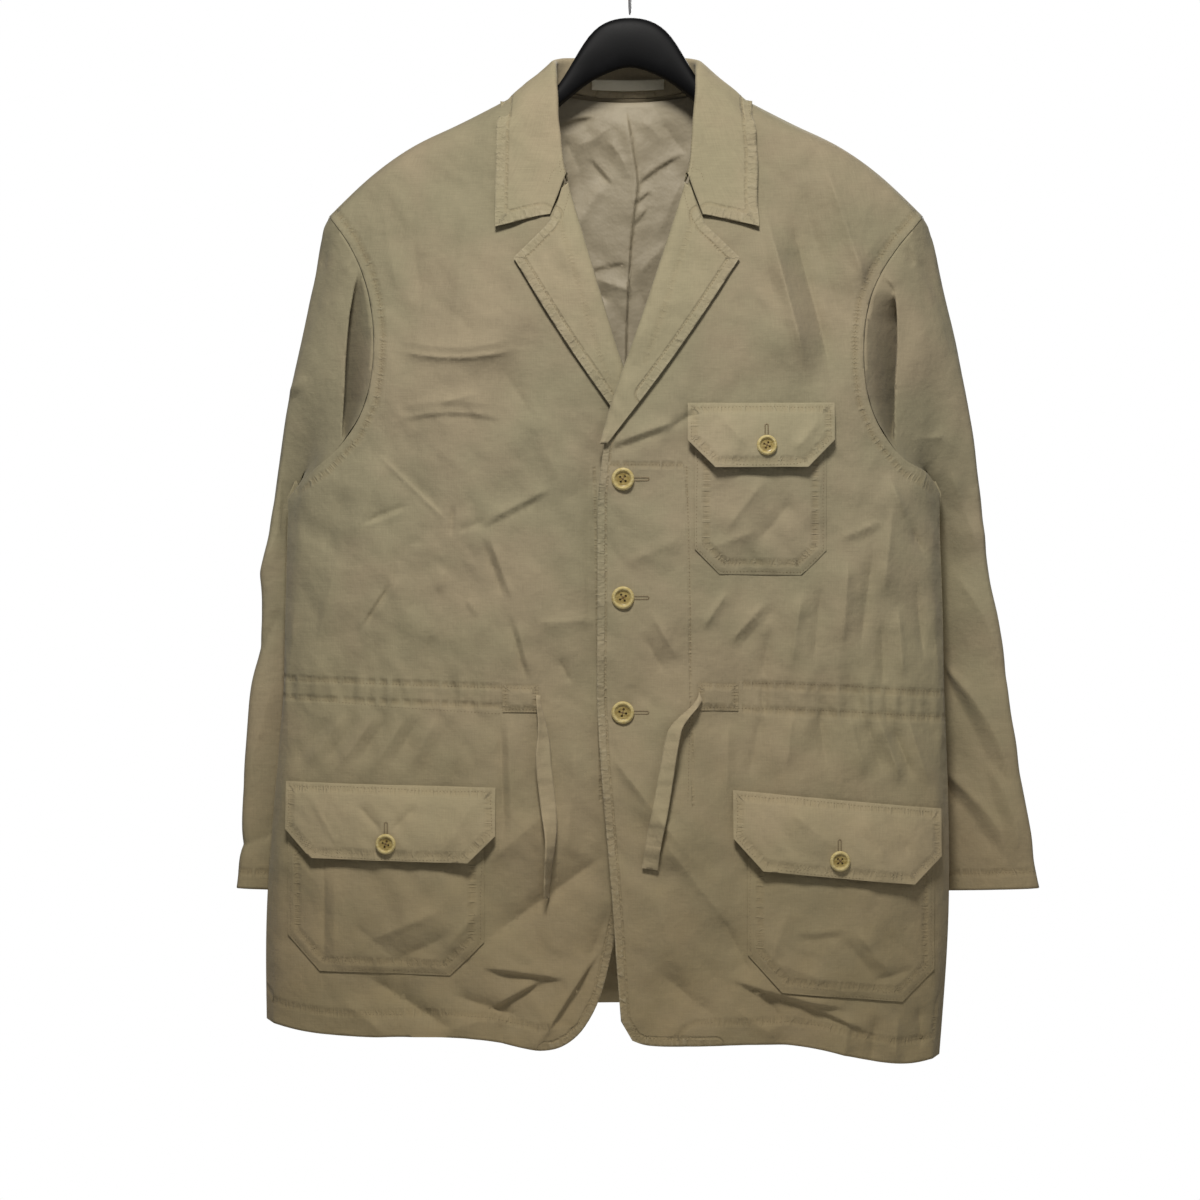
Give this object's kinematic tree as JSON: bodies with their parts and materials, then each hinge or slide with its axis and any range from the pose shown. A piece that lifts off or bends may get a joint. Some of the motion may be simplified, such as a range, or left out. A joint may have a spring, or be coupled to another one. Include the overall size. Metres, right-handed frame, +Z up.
{
  "type": "tailored jacket on a hanger",
  "caption": "Single-breasted cotton jacket with notched lapels, flap patch pockets and a drawstring waist, hanging on a moulded clothes hanger.",
  "frame": {"origin": "the highest point of the hook's inner side, where it rests on a rail", "axes": "+Z up, the jacket's front faces -Y, +X to the wearer's left"},
  "size_m": [0.7285, 0.1681, 1.0185],
  "materials": {
    "khaki_cotton": "plain woven cotton, washed",
    "lining": "smooth lining cloth",
    "loop_tape": "woven tape",
    "button": "polished horn look",
    "hanger": "moulded satin black",
    "hook": "bright wire"
  },
  "bodies": {
    "root": {"front_right": "khaki_cotton", "front_left": "khaki_cotton", "lapel_right": "khaki_cotton", "lapel_left": "khaki_cotton", "sleeve_right": "khaki_cotton", "sleeve_left": "khaki_cotton", "back": "khaki_cotton", "collar": "khaki_cotton", "pocket_chest": "khaki_cotton", "pocket_hip_right": "khaki_cotton", "pocket_hip_left": "khaki_cotton", "flap_chest": "khaki_cotton", "flap_hip_right": "khaki_cotton", "flap_hip_left": "khaki_cotton", "casing_tab_right": "khaki_cotton", "casing_tab_left": "khaki_cotton", "tie_right": "khaki_cotton", "tie_left": "khaki_cotton", "lining_back": "lining", "hanging_loop": "loop_tape", "button_front_1": "button", "button_front_2": "button", "button_front_3": "button", "button_chest": "button", "button_hip_right": "button", "button_hip_left": "button", "hanger_body": "hanger", "hanger_hook": "hook"}
  },
  "joints": []
}
